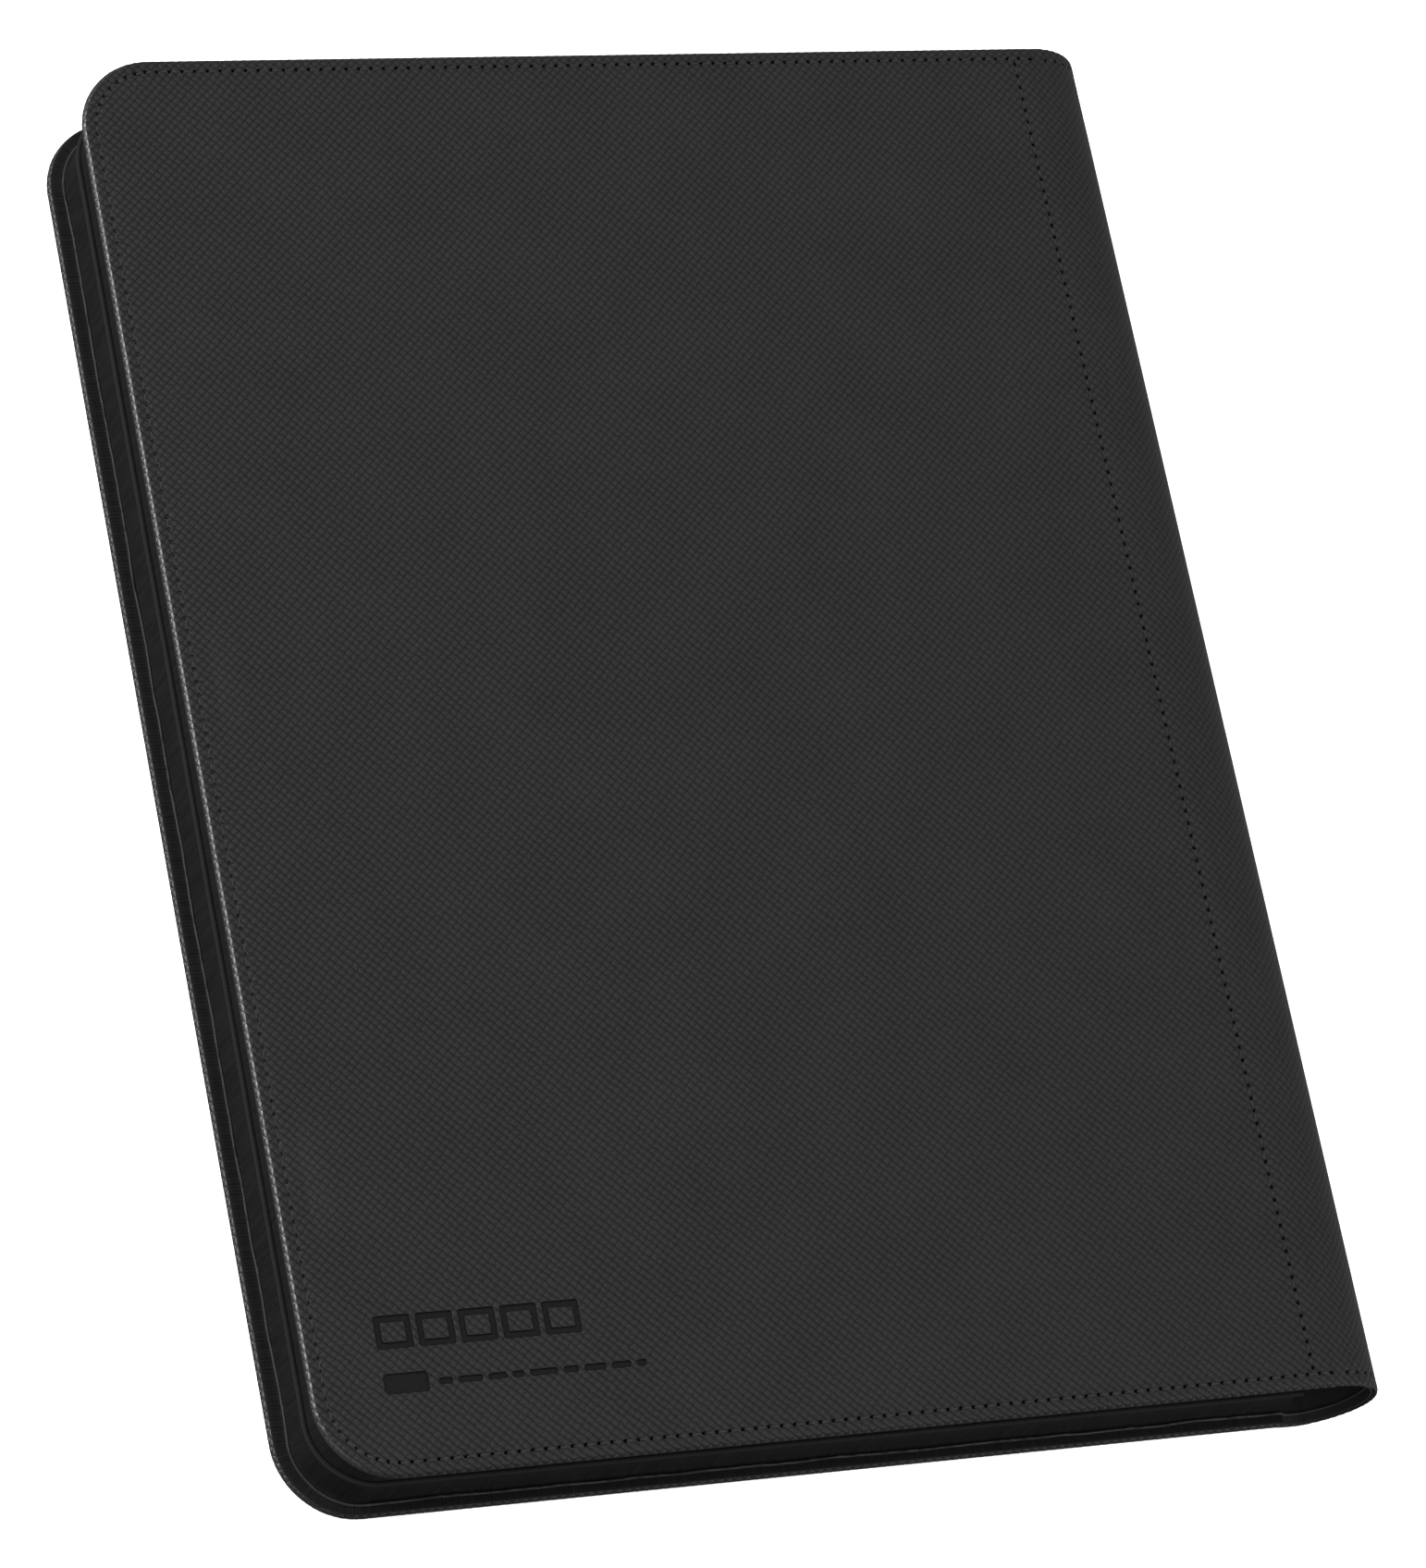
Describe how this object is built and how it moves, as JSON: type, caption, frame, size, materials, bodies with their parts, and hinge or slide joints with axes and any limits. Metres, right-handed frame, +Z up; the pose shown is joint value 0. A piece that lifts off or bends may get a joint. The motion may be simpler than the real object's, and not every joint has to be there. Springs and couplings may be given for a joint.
{
  "type": "trading card binder",
  "caption": "Zip-around side-loading trading card binder in textured black skin: two board covers on a soft rounded spine, a zipper wall on the open sides and a fan of pocket leaves inside.",
  "frame": {"origin": "middle of the footprint, on the surface that the closed binder lies on", "axes": "+Z up out of the back cover, which is the upper one; +X towards the spine; +Y towards the binder's top edge, where the slider parks"},
  "size_m": [0.2524, 0.33, 0.0325],
  "materials": {
    "cover_skin": "matte embossed synthetic leather, near black",
    "cover_board": "plain stiffener board",
    "cover_lining": "matte black lining cloth",
    "zipper_tape": "ribbed woven black tape",
    "zipper_coil": "black nylon coil",
    "zipper_metal": "black enamelled zinc, semi-gloss",
    "page_binding": "matte black binding cloth",
    "pocket_leaf": "clear glossy pocket film over a black core sheet"
  },
  "bodies": {
    "front_cover": {"front_cover_skin": "cover_skin", "front_cover_board": "cover_board", "front_cover_lining": "cover_lining", "front_zipper_tape": "zipper_tape", "front_zipper_coil": "zipper_coil", "front_page_binding": "page_binding", "front_zipper_top_stop": "zipper_metal", "zipper_bottom_stop": "zipper_metal"},
    "spine": {"spine_skin": "cover_skin", "spine_lining": "cover_lining"},
    "back_cover": {"back_cover_skin": "cover_skin", "back_cover_board": "cover_board", "back_cover_lining": "cover_lining", "back_zipper_tape": "zipper_tape", "back_zipper_coil": "zipper_coil", "back_page_binding": "page_binding", "back_zipper_top_stop": "zipper_metal"},
    "slider": {"slider_body": "zipper_metal"},
    "puller": {"slider_puller": "zipper_metal"},
    "leaf_01": {"page_leaf_01": "pocket_leaf"},
    "leaf_02": {"page_leaf_02": "pocket_leaf"},
    "leaf_03": {"page_leaf_03": "pocket_leaf"},
    "leaf_04": {"page_leaf_04": "pocket_leaf"},
    "leaf_05": {"page_leaf_05": "pocket_leaf"},
    "leaf_06": {"page_leaf_06": "pocket_leaf"},
    "leaf_07": {"page_leaf_07": "pocket_leaf"},
    "leaf_08": {"page_leaf_08": "pocket_leaf"},
    "leaf_09": {"page_leaf_09": "pocket_leaf"},
    "leaf_10": {"page_leaf_10": "pocket_leaf"},
    "leaf_11": {"page_leaf_11": "pocket_leaf"},
    "leaf_12": {"page_leaf_12": "pocket_leaf"},
    "leaf_13": {"page_leaf_13": "pocket_leaf"},
    "leaf_14": {"page_leaf_14": "pocket_leaf"},
    "leaf_15": {"page_leaf_15": "pocket_leaf"},
    "leaf_16": {"page_leaf_16": "pocket_leaf"},
    "leaf_17": {"page_leaf_17": "pocket_leaf"},
    "leaf_18": {"page_leaf_18": "pocket_leaf"},
    "leaf_19": {"page_leaf_19": "pocket_leaf"},
    "leaf_20": {"page_leaf_20": "pocket_leaf"}
  },
  "joints": [
    {"name": "cover_opening", "type": "hinge", "parent": "front_cover", "child": "spine", "pos_m": [0.11654, 0, 0.00065], "axis": [0, 1, 0], "range_deg": [0, 98.26]},
    {"name": "back_cover_fold", "type": "hinge", "parent": "spine", "child": "back_cover", "pos_m": [0.11201, 0, 0.03185], "axis": [0, 1, 0], "range_deg": [0, 81.74]},
    {"name": "slider_travel", "type": "slide", "parent": "front_cover", "child": "slider", "axis": [-1, 0, 0], "range_m": [0, 0.19]},
    {"name": "puller_swing", "type": "hinge", "parent": "slider", "child": "puller", "pos_m": [0.0938, 0.1634, 0.01625], "axis": [0, 0, -1], "range_deg": [0, 170]},
    {"name": "leaf_01_turn", "type": "hinge", "parent": "front_cover", "child": "leaf_01", "pos_m": [0.099, 0, 0.00338], "axis": [0, 1, 0], "range_deg": [0, 4]},
    {"name": "leaf_02_turn", "type": "hinge", "parent": "front_cover", "child": "leaf_02", "pos_m": [0.099, 0, 0.00473], "axis": [0, 1, 0], "range_deg": [0, 8]},
    {"name": "leaf_03_turn", "type": "hinge", "parent": "front_cover", "child": "leaf_03", "pos_m": [0.099, 0, 0.00609], "axis": [0, 1, 0], "range_deg": [0, 12]},
    {"name": "leaf_04_turn", "type": "hinge", "parent": "front_cover", "child": "leaf_04", "pos_m": [0.099, 0, 0.00744], "axis": [0, 1, 0], "range_deg": [0, 16]},
    {"name": "leaf_05_turn", "type": "hinge", "parent": "front_cover", "child": "leaf_05", "pos_m": [0.099, 0, 0.0088], "axis": [0, 1, 0], "range_deg": [0, 20]},
    {"name": "leaf_06_turn", "type": "hinge", "parent": "front_cover", "child": "leaf_06", "pos_m": [0.099, 0, 0.01015], "axis": [0, 1, 0], "range_deg": [0, 24]},
    {"name": "leaf_07_turn", "type": "hinge", "parent": "front_cover", "child": "leaf_07", "pos_m": [0.099, 0, 0.01151], "axis": [0, 1, 0], "range_deg": [0, 28]},
    {"name": "leaf_08_turn", "type": "hinge", "parent": "front_cover", "child": "leaf_08", "pos_m": [0.099, 0, 0.01286], "axis": [0, 1, 0], "range_deg": [0, 32]},
    {"name": "leaf_09_turn", "type": "hinge", "parent": "front_cover", "child": "leaf_09", "pos_m": [0.099, 0, 0.01422], "axis": [0, 1, 0], "range_deg": [0, 36]},
    {"name": "leaf_10_turn", "type": "hinge", "parent": "front_cover", "child": "leaf_10", "pos_m": [0.099, 0, 0.01557], "axis": [0, 1, 0], "range_deg": [0, 40]},
    {"name": "leaf_11_turn", "type": "hinge", "parent": "back_cover", "child": "leaf_11", "pos_m": [0.099, 0, 0.01693], "axis": [0, -1, 0], "range_deg": [0, 40]},
    {"name": "leaf_12_turn", "type": "hinge", "parent": "back_cover", "child": "leaf_12", "pos_m": [0.099, 0, 0.01828], "axis": [0, -1, 0], "range_deg": [0, 36]},
    {"name": "leaf_13_turn", "type": "hinge", "parent": "back_cover", "child": "leaf_13", "pos_m": [0.099, 0, 0.01964], "axis": [0, -1, 0], "range_deg": [0, 32]},
    {"name": "leaf_14_turn", "type": "hinge", "parent": "back_cover", "child": "leaf_14", "pos_m": [0.099, 0, 0.02099], "axis": [0, -1, 0], "range_deg": [0, 28]},
    {"name": "leaf_15_turn", "type": "hinge", "parent": "back_cover", "child": "leaf_15", "pos_m": [0.099, 0, 0.02235], "axis": [0, -1, 0], "range_deg": [0, 24]},
    {"name": "leaf_16_turn", "type": "hinge", "parent": "back_cover", "child": "leaf_16", "pos_m": [0.099, 0, 0.0237], "axis": [0, -1, 0], "range_deg": [0, 20]},
    {"name": "leaf_17_turn", "type": "hinge", "parent": "back_cover", "child": "leaf_17", "pos_m": [0.099, 0, 0.02506], "axis": [0, -1, 0], "range_deg": [0, 16]},
    {"name": "leaf_18_turn", "type": "hinge", "parent": "back_cover", "child": "leaf_18", "pos_m": [0.099, 0, 0.02641], "axis": [0, -1, 0], "range_deg": [0, 12]},
    {"name": "leaf_19_turn", "type": "hinge", "parent": "back_cover", "child": "leaf_19", "pos_m": [0.099, 0, 0.02777], "axis": [0, -1, 0], "range_deg": [0, 8]},
    {"name": "leaf_20_turn", "type": "hinge", "parent": "back_cover", "child": "leaf_20", "pos_m": [0.099, 0, 0.02912], "axis": [0, -1, 0], "range_deg": [0, 4]}
  ],
  "couplings": [
    {"joint": "back_cover_fold", "follows": "cover_opening", "ratio": 0.83188},
    {"joint": "leaf_01_turn", "follows": "cover_opening", "ratio": 0.040708},
    {"joint": "leaf_02_turn", "follows": "cover_opening", "ratio": 0.081416},
    {"joint": "leaf_03_turn", "follows": "cover_opening", "ratio": 0.12212},
    {"joint": "leaf_04_turn", "follows": "cover_opening", "ratio": 0.16283},
    {"joint": "leaf_05_turn", "follows": "cover_opening", "ratio": 0.20354},
    {"joint": "leaf_06_turn", "follows": "cover_opening", "ratio": 0.24425},
    {"joint": "leaf_07_turn", "follows": "cover_opening", "ratio": 0.28496},
    {"joint": "leaf_08_turn", "follows": "cover_opening", "ratio": 0.32567},
    {"joint": "leaf_09_turn", "follows": "cover_opening", "ratio": 0.36637},
    {"joint": "leaf_10_turn", "follows": "cover_opening", "ratio": 0.40708},
    {"joint": "leaf_11_turn", "follows": "cover_opening", "ratio": 0.40708},
    {"joint": "leaf_12_turn", "follows": "cover_opening", "ratio": 0.36637},
    {"joint": "leaf_13_turn", "follows": "cover_opening", "ratio": 0.32567},
    {"joint": "leaf_14_turn", "follows": "cover_opening", "ratio": 0.28496},
    {"joint": "leaf_15_turn", "follows": "cover_opening", "ratio": 0.24425},
    {"joint": "leaf_16_turn", "follows": "cover_opening", "ratio": 0.20354},
    {"joint": "leaf_17_turn", "follows": "cover_opening", "ratio": 0.16283},
    {"joint": "leaf_18_turn", "follows": "cover_opening", "ratio": 0.12212},
    {"joint": "leaf_19_turn", "follows": "cover_opening", "ratio": 0.081416},
    {"joint": "leaf_20_turn", "follows": "cover_opening", "ratio": 0.040708}
  ]
}
